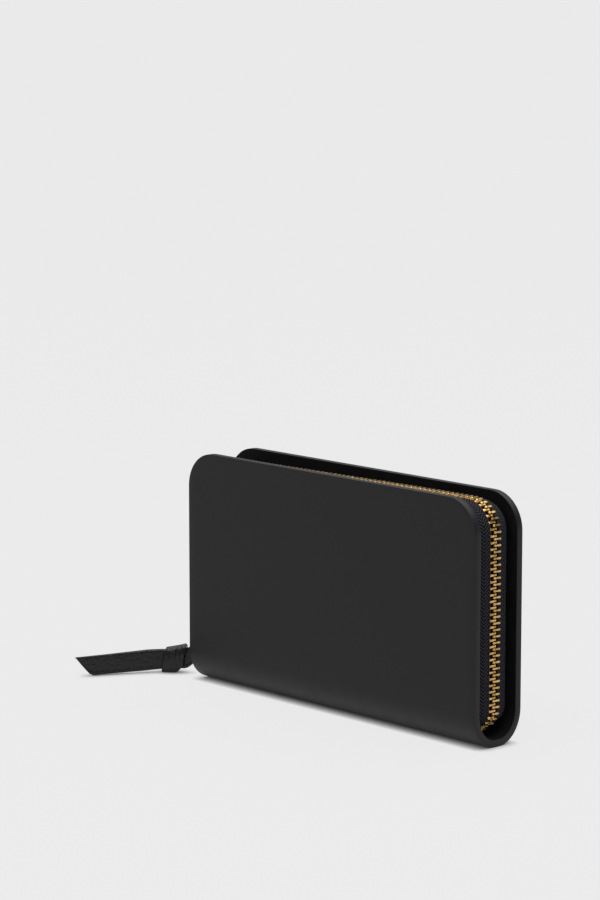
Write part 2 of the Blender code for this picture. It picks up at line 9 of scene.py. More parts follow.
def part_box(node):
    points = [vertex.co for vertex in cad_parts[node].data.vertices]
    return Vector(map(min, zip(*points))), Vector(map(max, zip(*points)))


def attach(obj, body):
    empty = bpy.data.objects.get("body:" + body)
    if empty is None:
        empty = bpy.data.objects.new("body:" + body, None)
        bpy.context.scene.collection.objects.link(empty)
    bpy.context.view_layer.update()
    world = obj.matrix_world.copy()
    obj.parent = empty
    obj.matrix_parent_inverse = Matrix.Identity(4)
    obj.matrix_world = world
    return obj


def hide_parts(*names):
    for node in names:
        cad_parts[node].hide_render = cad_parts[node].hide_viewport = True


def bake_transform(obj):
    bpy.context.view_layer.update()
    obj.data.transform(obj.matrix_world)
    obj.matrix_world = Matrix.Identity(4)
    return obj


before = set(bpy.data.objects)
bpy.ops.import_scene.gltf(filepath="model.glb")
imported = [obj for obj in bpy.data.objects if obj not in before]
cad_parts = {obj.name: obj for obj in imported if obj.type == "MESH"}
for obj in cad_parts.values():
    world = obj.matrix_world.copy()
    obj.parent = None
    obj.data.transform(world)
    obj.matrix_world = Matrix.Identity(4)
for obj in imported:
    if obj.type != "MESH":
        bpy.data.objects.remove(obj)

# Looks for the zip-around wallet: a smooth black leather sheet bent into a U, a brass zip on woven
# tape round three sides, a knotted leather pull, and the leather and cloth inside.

random.seed(7)
MM = 0.001
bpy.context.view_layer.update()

# The cover, read from the frame. Y runs from the front to the back, and the wallet stands on z = 0.
BACK_LOW, BACK_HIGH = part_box("cover_back_panel")
HALF = BACK_HIGH.x
TOP = BACK_HIGH.z
OUTER_Y = BACK_HIGH.y
INNER_Y = BACK_LOW.y
WALL = OUTER_Y - INNER_Y
BEND_H = BACK_LOW.z
BASE_HALF = 1.2 * MM  # half the flat foot of the bend
CORNER_R = 15 * MM
EDGE_ROUND = 0.55 * MM

# The lining inside the cover: it narrows towards the bend, to leave room for the gussets.
LINING_GAP = 0.3 * MM
LINING_THICK = 0.5 * MM
LINING_TOP = 92.5 * MM
LINING_HALF = 77.3 * MM
LINING_CORNER_R = 7.5 * MM
LINING_NARROW_FROM = 18 * MM
LINING_NARROW_OVER = 4 * MM
LINING_NARROW_BY = 3.5 * MM

# The zip's rail: its chain runs up the right end, along the top and down the left end.
CHAIN_RECESS = 2.7 * MM
TOOTH_PITCH = 2.6 * MM
RUN_OUT_R = 10.6 * MM
RUN_OUT_Z = 14.7 * MM
RUN_OUT_TURN = 65
LEFT_END_Z = 4.6 * MM  # where the tape ends
TEETH_END_Z = 15.0 * MM  # the left run has no teeth below this, where the slider is
TOP_LINE = 3  # the top run's number in rail_parts
CHAIN_SINK = 1.5 * MM  # how far the chain drops at the top left
CORD_R = 0.62 * MM
CORD_Y = 2.55 * MM
CORD_SIDES = 10
CORD_SIDE_MM = 0.39  # one side of the cord's outline

# The pull.
BAIL_X = -87.65 * MM
BAIL_CLEAR_R = 1.27 * MM
STRAP_HALF = 0.56 * MM  # half one layer's thickness
STRAP_APART = 0.62 * MM  # each layer's middle from the strap's middle line

STITCH_LONG = 2.3 * MM
STITCH_GAP = 0.8 * MM
STITCH_R = 0.2 * MM


# Materials.


class Shader:
    """A Principled material and short calls for the nodes behind it."""

    def __init__(self, name, colour, roughness, metallic=0.0, specular=0.5):
        self.material = bpy.data.materials.new(name)
        self.material.use_nodes = True
        self.nodes = self.material.node_tree.nodes
        self.links = self.material.node_tree.links
        self.surface = self.nodes["Principled BSDF"]
        self.set("Base Color", (*colour, 1.0))
        self.set("Roughness", roughness)
        self.set("Metallic", metallic)
        self.set("Specular IOR Level", specular)
        self.material.diffuse_color = (*colour, 1.0)
        self.where = self.nodes.new("ShaderNodeTexCoord").outputs["Object"]

    def set(self, socket, value):
        self.surface.inputs[socket].default_value = value

    def join(self, source, target):
        self.links.new(source, target)

    def math(self, operation, a, b=0.0):
        node = self.nodes.new("ShaderNodeMath")
        node.operation = operation
        for slot, value in zip(node.inputs, (a, b)):
            if isinstance(value, (int, float)):
                slot.default_value = value
            else:
                self.join(value, slot)
        return node.outputs[0]

    def noise(self, scale, detail):
        node = self.nodes.new("ShaderNodeTexNoise")
        node.inputs["Scale"].default_value = scale
        node.inputs["Detail"].default_value = detail
        node.inputs["Roughness"].default_value = 0.55
        self.join(self.where, node.inputs["Vector"])
        return node.outputs["Fac"]

    def cells(self, scale):
        node = self.nodes.new("ShaderNodeTexVoronoi")
        node.feature = "SMOOTH_F1"
        node.inputs["Scale"].default_value = scale
        node.inputs["Smoothness"].default_value = 0.35
        self.join(self.where, node.inputs["Vector"])
        return node.outputs["Distance"]

    def ramp(self, factor, stops):
        """A colour for each factor, from (place, colour) stops."""
        node = self.nodes.new("ShaderNodeValToRGB")
        elements = node.color_ramp.elements
        while len(elements) < len(stops):
            elements.new(0.5)
        for element, (place, colour) in zip(elements, stops):
            element.position = place
            element.color = (*colour, 1.0)
        self.join(factor, node.inputs["Fac"])
        return node.outputs["Color"]

    def spread(self, factor, low, high, from_low=0.0, from_high=1.0):
        """The factor's range from_low to from_high, mapped to low to high."""
        node = self.nodes.new("ShaderNodeMapRange")
        for name, value in (
            ("From Min", from_low),
            ("From Max", from_high),
            ("To Min", low),
            ("To Max", high),
        ):
            node.inputs[name].default_value = value
        self.join(factor, node.inputs["Value"])
        return node.outputs["Result"]

    def colour(self, source):
        self.join(source, self.surface.inputs["Base Color"])

    def rough(self, source):
        self.join(source, self.surface.inputs["Roughness"])

    def bump(self, height, distance, strength=1.0, under=None):
        node = self.nodes.new("ShaderNodeBump")
        node.inputs["Strength"].default_value = strength
        node.inputs["Distance"].default_value = distance
        self.join(height, node.inputs["Height"])
        if under:
            self.join(under, node.inputs["Normal"])
        self.join(node.outputs["Normal"], self.surface.inputs["Normal"])
        return node.outputs["Normal"]

    def along(self):
        """(u, v) of the run map: millimetres along the piece and across it."""
        node = self.nodes.new("ShaderNodeUVMap")
        node.uv_map = "run"
        split = self.nodes.new("ShaderNodeSeparateXYZ")
        self.join(node.outputs["UV"], split.inputs[0])
        return split.outputs["X"], split.outputs["Y"]


def leather(name, dark, light, rough, pore_scale, pore_depth, specular=0.5, mottle=140.0):
    """Black leather: slow mottling, pores and fine wrinkles between them."""
    s = Shader(name, light, rough, specular=specular)
    slow = s.noise(mottle, 4.0)
    s.colour(s.ramp(slow, [(0.32, dark), (0.68, light)]))
    fine = s.noise(pore_scale * 0.6, 4.0)
    pores = s.cells(pore_scale)
    s.rough(s.spread(s.math("ADD", slow, fine), rough - 0.05, rough + 0.06, 0.7, 1.3))
    under = s.bump(pores, pore_depth, 0.6)
    s.bump(fine, pore_depth * 1.5, 0.5, under)
    return s.material


def edge_paint():
    """The cut edge: leather fibres under a slightly glossier coat of edge paint."""
    s = Shader("edge_paint", (0.009, 0.009, 0.0105), 0.34, specular=0.24)
    streaks = s.noise(900.0, 3.0)
    s.colour(s.ramp(streaks, [(0.3, (0.006, 0.006, 0.0072)), (0.75, (0.010, 0.010, 0.0115))]))
    s.rough(s.spread(streaks, 0.3, 0.42))
    s.bump(streaks, 0.03 * MM, 0.5)
    return s.material


def woven_tape(name, pitch, column, bright, depth):
    """Herringbone: diagonal threads whose slant turns at every column; the colour is darkened between the
    threads and along the column seams as painted shade.
    """
    s = Shader(name, bright, 0.8, specular=0.15)
    u, v = s.along()
    zigzag = s.math("PINGPONG", v, column)
    phase = s.math("DIVIDE", s.math("ADD", u, zigzag), pitch)
    wave = s.math("SINE", s.math("MULTIPLY", phase, 2 * math.pi))
    thread = s.spread(wave, 0.0, 1.0, -0.2, 0.9)
    fuzz = s.noise(2600.0, 2.0)
    # seam dims the colour where the slant turns between columns: painted shade in the groove there.
    seam = s.math("PINGPONG", v, column / 2)
    relief_and_painted_shade = s.math("MULTIPLY", thread, s.spread(fuzz, 0.45, 1.15, 0.25, 0.75))
    relief_and_painted_shade = s.math("MULTIPLY", relief_and_painted_shade, s.spread(seam, 0.55, 1.0, 0.0, 0.25))
    # The colour follows the thread relief: the dark valleys between threads and the dark column seams are
    # painted shade.
    s.colour(s.ramp(relief_and_painted_shade, [(0.0, (0.0015, 0.0015, 0.003)), (1.0, bright)]))
    s.bump(relief_and_painted_shade, depth, 0.9)
    s.set("Sheen Weight", 0.03)
    s.set("Sheen Roughness", 0.4)
    return s.material


def twisted_cord(name):
    """The cord at the tape's edge that the teeth bite on: fine slanting ribs, the colour darkened in the
    grooves between them as painted shade.
    """
    s = Shader(name, (0.008, 0.008, 0.011), 0.7, specular=0.3)
    u, v = s.along()
    phase = s.math("DIVIDE", s.math("ADD", u, s.math("MULTIPLY", v, 0.5)), 0.55)
    wave = s.math("SINE", s.math("MULTIPLY", phase, 2 * math.pi))
    rib = s.spread(wave, 0.0, 1.0, -1.0, 1.0)
    # Colour from the rib height: the dark grooves are painted shade.
    s.colour(s.ramp(rib, [(0.2, (0.002, 0.002, 0.003)), (0.9, (0.016, 0.016, 0.022))]))
    s.bump(rib, 0.12 * MM, 0.8)
    return s.material


def twill(name):
    """Matte black gusset cloth with a fine diagonal rib, the colour darkened in its grooves as painted
    shade.
    """
    s = Shader(name, (0.014, 0.014, 0.016), 0.85, specular=0.25)
    u, v = s.along()
    phase = s.math("DIVIDE", s.math("ADD", u, v), 0.8)
    wave = s.math("SINE", s.math("MULTIPLY", phase, 2 * math.pi))
    cross = s.math("SINE", s.math("MULTIPLY", s.math("SUBTRACT", u, v), 2 * math.pi / 0.4))
    rib = s.spread(s.math("ADD", wave, s.math("MULTIPLY", cross, 0.4)), 0.0, 1.0, -1.4, 1.4)
    fuzz = s.noise(1800.0, 2.0)
    relief_and_painted_shade = s.math("MULTIPLY", rib, s.spread(fuzz, 0.7, 1.1))
    # Colour from the rib relief, varied by random fuzz: the dark grooves are painted shade.
    s.colour(s.ramp(relief_and_painted_shade, [(0.1, (0.006, 0.006, 0.008)), (0.9, (0.024, 0.024, 0.028))]))
    s.bump(rib, 0.06 * MM, 0.7)
    s.set("Sheen Weight", 0.2)
    return s.material


def brass(name, colour, dull, rough):
    """Golden brass, a little darker and duller in patches."""
    s = Shader(name, colour, rough, metallic=1.0)
    patches = s.noise(520.0, 3.0)
    scratches = s.noise(3800.0, 2.0)
    s.colour(s.ramp(patches, [(0.35, dull), (0.6, colour)]))
    s.rough(s.spread(s.math("ADD", patches, scratches), rough - 0.07, rough + 0.1, 0.6, 1.4))
    s.bump(scratches, 0.01 * MM, 0.4)
    return s.material


def thread_material():
    s = Shader("sewing_thread", (0.012, 0.012, 0.014), 0.55, specular=0.4)
    twist = s.noise(4200.0, 2.0)
    s.colour(s.ramp(twist, [(0.3, (0.006, 0.006, 0.007)), (0.75, (0.026, 0.026, 0.029))]))
    s.bump(twist, 0.03 * MM, 0.6)
    return s.material


SMOOTH = leather(
    "cover_smooth", (0.0050, 0.0050, 0.0062), (0.0070, 0.0070, 0.0084), 0.48, 2600.0, 0.006 * MM, 0.28
)
FLESH = leather(
    "cover_inside", (0.0022, 0.0022, 0.0026), (0.0045, 0.0045, 0.005), 0.75, 1500.0, 0.02 * MM, 0.12
)
EDGE = edge_paint()
LINING = leather(
    "lining_leather", (0.006, 0.006, 0.007), (0.010, 0.010, 0.011), 0.6, 1500.0, 0.03 * MM, 0.4
)
SLOTS = leather("slot_leather", (0.012, 0.012, 0.013), (0.018, 0.018, 0.019), 0.5, 1700.0, 0.03 * MM)
PULL = leather(
    "pull_leather", (0.002, 0.002, 0.0027), (0.0075, 0.0075, 0.0085), 0.37, 700.0, 0.32 * MM, 0.36, 600.0
)
TAPE = woven_tape("zip_tape_weave", 1.5, 2.4, (0.040, 0.041, 0.056), 0.25 * MM)
COIN_TAPE = woven_tape("coin_tape_weave", 0.8, 1.5, (0.03, 0.03, 0.038), 0.1 * MM)
CORD = twisted_cord("tape_cord")
TWILL = twill("gusset_twill")
BRASS = brass("tooth_brass", (0.72, 0.48, 0.19), (0.36, 0.22, 0.07), 0.22)
SLIDER_BRASS = brass("slider_brass", (0.78, 0.54, 0.22), (0.66, 0.44, 0.16), 0.2)
THREAD = thread_material()


# Building.


def link(name, mesh, materials):
    obj = bpy.data.objects.new(name, mesh)
    bpy.context.scene.collection.objects.link(obj)
    for material in materials:
        mesh.materials.append(material)
    return obj


def apply_modifiers(obj):
    """The object's own mesh becomes what its modifiers make of it."""
    graph = bpy.context.evaluated_depsgraph_get()
    mesh = bpy.data.meshes.new_from_object(
        obj.evaluated_get(graph), preserve_all_data_layers=True, depsgraph=graph
    )
    obj.modifiers.clear()
    obj.data = mesh
    return obj


def smooth(obj, degrees):
    obj.data.shade_smooth()
    obj.data.set_sharp_from_angle(angle=math.radians(degrees))
    return obj


def grid(name, rows, materials, uv=None, ring=False):
    """A surface through rows of points. uv gives millimetres along and across for a (row, column)."""
    mesh = bpy.data.meshes.new(name)
    wide = len(rows[0])
    points = [tuple(p) for row in rows for p in row]
    faces = []
    for i in range(len(rows) - 1):
        for j in range(wide if ring else wide - 1):
            k = (j + 1) % wide
            faces.append((i * wide + j, i * wide + k, (i + 1) * wide + k, (i + 1) * wide + j))
    mesh.from_pydata(points, [], faces)
    if uv:
        layer = mesh.uv_layers.new(name="run")
        spots = iter(layer.data)
        for i in range(len(rows) - 1):
            for j in range(wide if ring else wide - 1):
                for a, b in ((i, j), (i, j + 1), (i + 1, j + 1), (i + 1, j)):
                    next(spots).uv = uv(a, b)
    return link(name, mesh, materials)


def loft(name, rings, materials, uv=None):
    """A tube through rings of points, with both ends closed."""
    obj = grid(name, rings, materials, uv, ring=True)
    bm = bmesh.new()
    bm.from_mesh(obj.data)
    bm.verts.ensure_lookup_table()
    wide = len(rings[0])
    for start in (0, (len(rings) - 1) * wide):
        bm.faces.new([bm.verts[start + k] for k in range(wide)])
    bmesh.ops.recalc_face_normals(bm, faces=bm.faces)
    bm.to_mesh(obj.data)
    bm.free()
    return obj


def outward(obj):
    """Make the faces' normals agree, pointing out where the mesh is closed."""
    bm = bmesh.new()
    bm.from_mesh(obj.data)
    bmesh.ops.recalc_face_normals(bm, faces=bm.faces)
    bm.to_mesh(obj.data)
    bm.free()
    return obj


def thicken(obj, thickness, offset=0.0, rim=0, back=0, bevel=0.0, segments=2):
    """A sheet given its thickness. rim and back are the material steps of its edge and other face."""
    solid = obj.modifiers.new("thickness", "SOLIDIFY")
    solid.thickness = thickness
    solid.offset = offset
    solid.use_even_offset = True
    solid.material_offset_rim = rim
    solid.material_offset = back
    if bevel:
        rounding = obj.modifiers.new("edges", "BEVEL")
        rounding.width = bevel
        rounding.segments = segments
        rounding.limit_method = "ANGLE"
        rounding.angle_limit = math.radians(50)
    return apply_modifiers(obj)


def refine(node, name, body, bevel, slot_name, material, segments=2):
    """A finished small metal part on a CAD node's shape: its edges rounded over."""
    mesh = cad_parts[node].data.copy()
    mesh.materials.clear()
    obj = link(name, mesh, [material])
    for polygon in mesh.polygons:
        polygon.material_index = 0
    bm = bmesh.new()
    bm.from_mesh(mesh)
    bmesh.ops.remove_doubles(bm, verts=bm.verts, dist=0.002 * MM)
    bmesh.ops.dissolve_limit(bm, angle_limit=math.radians(2), verts=bm.verts, edges=bm.edges)
    bm.to_mesh(mesh)
    bm.free()
    rounding = obj.modifiers.new("edges", "BEVEL")
    rounding.width = bevel
    rounding.segments = segments
    rounding.limit_method = "ANGLE"
    rounding.angle_limit = math.radians(30)
    apply_modifiers(obj)
    smooth(obj, 35)
    return place(obj, body, slot_name, node)


def place(obj, body, slot_name, *nodes):
    """A piece that moves with one body and stands for these CAD nodes."""
    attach(obj, body)
    if nodes:
        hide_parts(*nodes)
    return obj


def bent(obj, start, end, slot_name, *nodes):
    """A piece with its placement baked into its mesh, standing for these CAD nodes."""
    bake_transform(obj)
    if nodes:
        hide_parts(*nodes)
    return obj


def stitches(name, lines, lift):
    """Rows of thread stitches. Each line is (points, outward normal)."""
    mesh = bpy.data.meshes.new(name)
    points, faces = [], []
    sides = 6
    turn = [2 * math.pi * k / sides for k in range(sides)]
    shape = ((-0.5, 0.35), (-0.4, 0.9), (0.0, 1.0), (0.4, 0.9), (0.5, 0.35))
    for route, normal in lines:
        normal = Vector(normal).normalized()
        for a, b in zip(route, route[1:]):
            a, b = Vector(a), Vector(b)
            run = (b - a).length
            count = max(1, int(run / (STITCH_LONG + STITCH_GAP)))
            heading = (b - a).normalized()
            side = heading.cross(normal)
            for n in range(count):
                middle = a + heading * run * (n + 0.5) / count
                first = len(points)
                for share, size in shape:
                    at = middle + heading * share * STITCH_LONG + normal * (lift - (1 - size) * STITCH_R)
                    for angle in turn:
                        away = side * math.cos(angle) + normal * math.sin(angle)
                        points.append(at + away * STITCH_R * size)
                for i in range(len(shape) - 1):
                    for k in range(sides):
                        p, q = first + i * sides + k, first + i * sides + (k + 1) % sides
                        faces.append((p, q, q + sides, p + sides))
                faces.append(tuple(first + k for k in range(sides)))
                last = first + (len(shape) - 1) * sides
                faces.append(tuple(last + k for k in reversed(range(sides))))
    mesh.from_pydata(points, [], faces)
    return smooth(outward(link(name, mesh, [THREAD])), 60)


# The cover: one sheet from the back's top edge, round the spine, to the front's top edge.


def corner_half(z, half, top, radius):
    """Half the length of a panel with round upper corners at height z."""
    rise = max(0.0, z - (top - radius))
    return half - radius + math.sqrt(max(0.0, radius * radius - rise * rise))


def bend_rows(inset, steps):
    """(y, z) round the spine from back to front, inset from the cover's outer face."""
    y = OUTER_Y - BASE_HALF - inset
    z = BEND_H - inset
    back = []
    for i in range(steps + 1):
        a = math.pi / 2 * i / steps
        back.append((BASE_HALF + y * math.cos(a), BEND_H - z * math.sin(a)))
    return back + [(-y, z) for y, z in reversed(back)]


def bend_half(z, inset):
    """The Y of the bend's surface at height z, that far inside the outer face."""
    drop = min(1.0, max(0.0, (BEND_H - z) / (BEND_H - inset)))
    return BASE_HALF + (OUTER_Y - BASE_HALF - inset) * math.sqrt(1 - drop * drop)


def panel_heights(top, radius, low, steps, corner_steps):
    """Heights down a panel: close together round its upper corners, then even down to low."""
    start = top - radius
    quarter = math.pi / 2
    heights = [start + radius * math.cos(quarter * i / corner_steps) for i in range(corner_steps + 1)]
    return heights + [start + (low - start) * (i + 1) / steps for i in range(steps - 1)]


def u_sheet(inset, top, radius, half, steps):
    """(y, z, half length) rows of a sheet that follows the cover at an inset."""
    round_steps = 14
    heights = panel_heights(top, radius, BEND_H, steps, round_steps)
    rows = [(OUTER_Y - inset, z) for z in heights]
    path = rows + bend_rows(inset, round_steps) + [(-y, z) for y, z in reversed(rows)]
    return [(y, z, corner_half(z, half, top, radius)) for y, z in path]


def make_cover():
    """One thick sheet: smooth outside, fleshy inside, painted and rounded at its cut edge."""
    columns = 44
    rows = []
    for y, z, half in u_sheet(0.0, TOP, CORNER_R, HALF, 12):
        rows.append([(half * (2 * k / columns - 1), y, z) for k in range(columns + 1)])
    obj = grid("cover", rows, [SMOOTH, FLESH, EDGE])
    outward(obj)
    if obj.data.polygons[0].normal.y < 0:
        obj.data.flip_normals()
    thicken(obj, WALL, -1.0, rim=2, back=1, bevel=EDGE_ROUND, segments=4)
    smooth(obj, 60)
    limit = INNER_Y - 0.05 * MM
    nodes = ("cover_back_panel", "cover_spine", "cover_front_panel")
    bent(obj, (0, limit, 0), (0, -limit, 0), "cover_leather", *nodes)


def make_lining():
    """One sheet of thin leather over the cover's inner face, with its sewn edge."""
    columns = 30
    rows = []
    for y, z, half in u_sheet(WALL + LINING_GAP, LINING_TOP, LINING_CORNER_R, LINING_HALF, 8):
        if z < LINING_NARROW_FROM:
            share = min(1.0, (LINING_NARROW_FROM - z) / LINING_NARROW_OVER)
            half -= LINING_NARROW_BY * share * share * (3 - 2 * share)
        rows.append([(half * (2 * k / columns - 1), y, z) for k in range(columns + 1)])
    obj = grid("lining", rows, [LINING])
    outward(obj)
    if obj.data.polygons[0].normal.y < 0:
        obj.data.flip_normals()
    thicken(obj, LINING_THICK, -1.0, bevel=0.15 * MM)
    smooth(obj, 60)
    limit = 9.3 * MM
    nodes = ("lining_back", "lining_spine", "lining_front")
    bent(obj, (0, limit, 0), (0, -limit, 0), "inner_leather", *nodes)
    make_lining_stitches()


def make_lining_stitches():
    """A row of stitches just inside the lining's edge, up one end, over the top and down the other."""
    margin = 1.6 * MM
    bottom = 20 * MM
    top = LINING_TOP - margin
    x = LINING_HALF - margin
    radius = 6 * MM
    for word, side in (("back", 1), ("front", -1)):
        y = side * (INNER_Y - LINING_GAP - LINING_THICK)
        route = [(x, y, bottom), (x, y, top - radius)]
        for a in (0.4, 0.8, 1.2, math.pi / 2):
            route.append((x - radius + radius * math.cos(a), y, top - radius + radius * math.sin(a)))
        route += [(-px, py, pz) for px, py, pz in reversed(route)]
        seam = stitches(f"lining_stitches_{word}", [(route, (0, -side, 0))], 0.05 * MM)
        place(seam, word, "inner_leather")


# Card slots.


def leather_panel(name, side, y, half, low, high, radius, thick):
    """A thin panel facing the middle, with a turned top edge, a pressed line under it and a soft face."""
    fold = 5.0 * MM
    even_to = high - 7 * MM
    heights = [low + (even_to - low) * i / 8 for i in range(9)]
    heights += [high - d * MM for d in (6.0, 5.3, 4.9, 4.5, 2.2, 1.75, 1.5, 1.25, 0.8, 0.35, 0.0)]
    columns = 28
    rows = []
    for z in heights:
        wide = corner_half(z, half, high, radius)
        from_top = high - z
        row = []
        for k in range(columns + 1):
            share = 2 * k / columns - 1
            x = wide * share
            turned = 0.10 * MM if from_top < fold else 0.0
            pressed = 0.11 * MM * math.exp(-(((from_top - 1.5 * MM) / (0.22 * MM)) ** 2))
            seam = 0.07 * MM * math.exp(-(((abs(x) - half + 2.0 * MM) / (0.5 * MM)) ** 2))
            swell = 0.12 * MM * (1 - share * share) * math.sin(math.pi * (z - low) / (high - low))
            uneven = 0.04 * MM * noise.noise(Vector((x * 60, side * 3, z * 60)))
            row.append((x, y - side * (turned - pressed - seam + swell + uneven), z))
        rows.append(row)
    obj = outward(grid(name, rows, [SLOTS]))
    if obj.data.polygons[0].normal.y * side > 0:
        obj.data.flip_normals()
    thicken(obj, thick, -1.0, bevel=0.14 * MM)
    return smooth(obj, 50)


def make_card_slots():
    """Three stacked pockets a side: the lower two sewn down their ends, the last along its bottom too."""
    tops = (88 * MM, 72 * MM, 56 * MM)
    for word, side in (("back", 1), ("front", -1)):
        lines = []
        normal = (0, -side, 0)
        for layer, top in enumerate(tops):
            node = f"card_slot_{word}_{layer + 1}"
            low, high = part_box(node)
            face = low.y if side > 0 else high.y
            half = high.x
            name = node.replace("slot_", "pocket_")
            obj = leather_panel(name, side, face, half, low.z, high.z, 4 * MM, 0.45 * MM)
            place(obj, word, "inner_leather", node)
            x = half - 2.0 * MM
            y = face - side * 0.02 * MM
            bottom = low.z + 1.6 * MM
            step = top - 3.0 * MM
            if layer:
                lines.append(([(x, y, bottom), (x, y, step)], normal))
                lines.append(([(-x, y, bottom), (-x, y, step)], normal))
            if layer == len(tops) - 1:
                lines.append(([(-x, y, bottom), (x, y, bottom)], normal))
        place(stitches(f"pocket_stitches_{word}", lines, 0.1 * MM), word, "inner_leather")


# Gussets.


def rounded_route(points, radius, steps=5):
    """The polyline with each inner corner rounded."""
    result = [Vector(points[0])]
    for a, b, c in zip(points, points[1:], points[2:]):
        a, b, c = Vector(a), Vector(b), Vector(c)
        reach = min(radius, (a - b).length / 2.2, (c - b).length / 2.2)
        p = b + (a - b).normalized() * reach
        q = b + (c - b).normalized() * reach
        for i in range(steps + 1):
            t = i / steps
            result.append(p * (1 - t) ** 2 + b * 2 * t * (1 - t) + q * t * t)
    result.append(Vector(points[-1]))
    return result


def lengths_along(route):
    """The distance from the route's start to each of its points."""
    total, result = 0.0, [0.0]
    for a, b in zip(route, route[1:]):
        total += (Vector(b) - Vector(a)).length
        result.append(total)
    return result


GUSSET_LOW, GUSSET_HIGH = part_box("gusset_right")
GUSSET_EDGE_X = 76.9 * MM
GUSSET_FOLD_X = 57.8 * MM
GUSSET_MIDDLE_X = 68.5 * MM
# (across, up) round the leather that binds a gusset's top edge, in millimetres
BINDING_SECTION = ((-0.34, -1.8), (0.34, -1.8), (0.4, -0.2), (0.2, 0.12), (-0.2, 0.12), (-0.4, -0.2))


def make_gussets():
    """Bellows in a W plan, with rounded folds and a bound top edge."""
    half = [
        (GUSSET_MIDDLE_X, 0.0),
        (GUSSET_MIDDLE_X, 3.2 * MM),
        (GUSSET_FOLD_X, 5.1 * MM),
        (GUSSET_EDGE_X, 8.2 * MM),
    ]
    plan = [(x, -y, 0) for x, y in reversed(half[1:])] + [(x, y, 0) for x, y in half]
    route = rounded_route(plan, 1.6 * MM)
    spans = lengths_along(route)
    low, tall = GUSSET_LOW.z, GUSSET_HIGH.z - GUSSET_LOW.z
    count = 16
    ends = ((0, 7.9 * MM, 0), (0, -7.9 * MM, 0))
    for word, side in (("left", -1), ("right", 1)):
        rows = []
        for i in range(count + 1):
            t = i / count
            row = []
            for p in route:
                depth = (GUSSET_EDGE_X - p.x) / (GUSSET_EDGE_X - GUSSET_FOLD_X)
                dip = 2.2 * MM * depth * t * t
                sway = 0.35 * MM * math.sin(math.pi * t) * math.sin(p.y * 900 + side)
                row.append((side * (p.x + sway), p.y, low + tall * t - dip))
            rows.append(row)
        name = f"gusset_cloth_{word}"
        obj = grid(name, rows, [TWILL], lambda a, b: (spans[b] / MM, a * tall / count / MM))
        outward(obj)
        thicken(obj, 0.35 * MM)
        smooth(obj, 60)
        bent(obj, *ends, "gusset_cloth", f"gusset_{word}")
        binding = []
        for x, y, z in rows[-1]:
            ring = [(x + side * a * MM, y + a * 0.35 * MM, z + b * MM) for a, b in BINDING_SECTION]
            binding.append(ring)
        band = loft(f"gusset_binding_{word}", binding, [SLOTS])
        smooth(band, 50)
        bent(band, *ends, "inner_leather")


# The zip's rail.


def rail_parts(recess):
    """The covers' outline moved inwards by recess, as (kind, start, end, length) from the lower right."""
    side = CORNER_R - recess
    turn = math.radians(RUN_OUT_TURN)
    run_out = (HALF - RUN_OUT_R, RUN_OUT_Z, RUN_OUT_R - recess)
    right = (HALF - CORNER_R, TOP - CORNER_R, side)
    left = (-HALF + CORNER_R, TOP - CORNER_R, side)
    quarter = math.pi / 2
    x, z = HALF - recess, TOP - recess
    flat, upright = HALF - CORNER_R, TOP - CORNER_R
    return [
        ("arc", run_out, (-turn, 0.0), turn * run_out[2]),
        ("line", (x, RUN_OUT_Z), (x, upright), upright - RUN_OUT_Z),
        ("arc", right, (0.0, quarter), quarter * side),
        ("line", (flat, z), (-flat, z), 2 * flat),
        ("arc", left, (quarter, 2 * quarter), quarter * side),
        ("line", (-x, upright), (-x, LEFT_END_Z), upright - LEFT_END_Z),
    ]


# The outward angle of each straight part.
LINE_TURNS = {1: 0.0, TOP_LINE: math.pi / 2, 5: math.pi}
CHAIN_PARTS = rail_parts(CHAIN_RECESS)
RAIL_LONG = sum(part[3] for part in CHAIN_PARTS)
LEFT_RUN_START = RAIL_LONG - CHAIN_PARTS[-1][3]


def station(along):
    """(part number, share of it) at a distance along the chain's middle line."""
    for number, part in enumerate(CHAIN_PARTS):
        if along <= part[3] or number == len(CHAIN_PARTS) - 1:
            return number, along / part[3]
        along -= part[3]


def rail_point(where, recess):
    """(x, z, outward angle) of a station on the rail moved inwards by recess, sinking to the top left."""
    number, share = where
    kind, start, end, _ = rail_parts(recess)[number]
    near = {TOP_LINE: share, TOP_LINE + 1: 1 - share}.get(number, 0.0)
    sink = CHAIN_SINK * near * near * (3 - 2 * near)
    if kind == "line":
        x = start[0] + (end[0] - start[0]) * share
        z = start[1] + (end[1] - start[1]) * share
        return x, z - sink, LINE_TURNS[number]
    angle = end[0] + (end[1] - end[0]) * share
    return start[0] + start[2] * math.cos(angle), start[1] + start[2] * math.sin(angle) - sink, angle


def rail_stations():
    """Distances along the chain for the tape's rows, close together on the arcs."""
    result, begin = [], 0.0
    for kind, _, _, length in CHAIN_PARTS:
        spacing = 1.4 * MM if kind == "arc" else 6 * MM
        steps = max(2, round(length / spacing))
        result += [begin + length * i / steps for i in range(steps)]
        begin += length
    return result + [begin]


TAPE_INNER_Y = 2.0 * MM
TAPE_OUTER_Y = 9.95 * MM
TAPE_RECESS = 2.475 * MM
TAPE_DROP = 4.525 * MM
TAPE_WEB_Y = (3.0, 3.6, 4.4, 5.2, 6.0, 6.8, 7.6, 8.3, 8.9, 9.35, 9.7)
# (Y, recess) where the tape turns in beside the cover
TAPE_HEM = ((9.95, 7.1), (10.07, 7.7), (10.1, 8.8), (10.1, 10.2))


def tape_recess(y):
    """How far in from the covers' outline the tape lies at y: a quarter of an ellipse."""
    share = (y - TAPE_INNER_Y) / (TAPE_OUTER_Y - TAPE_INNER_Y)
    return TAPE_RECESS + TAPE_DROP * (1 - math.sqrt(1 - share * share))


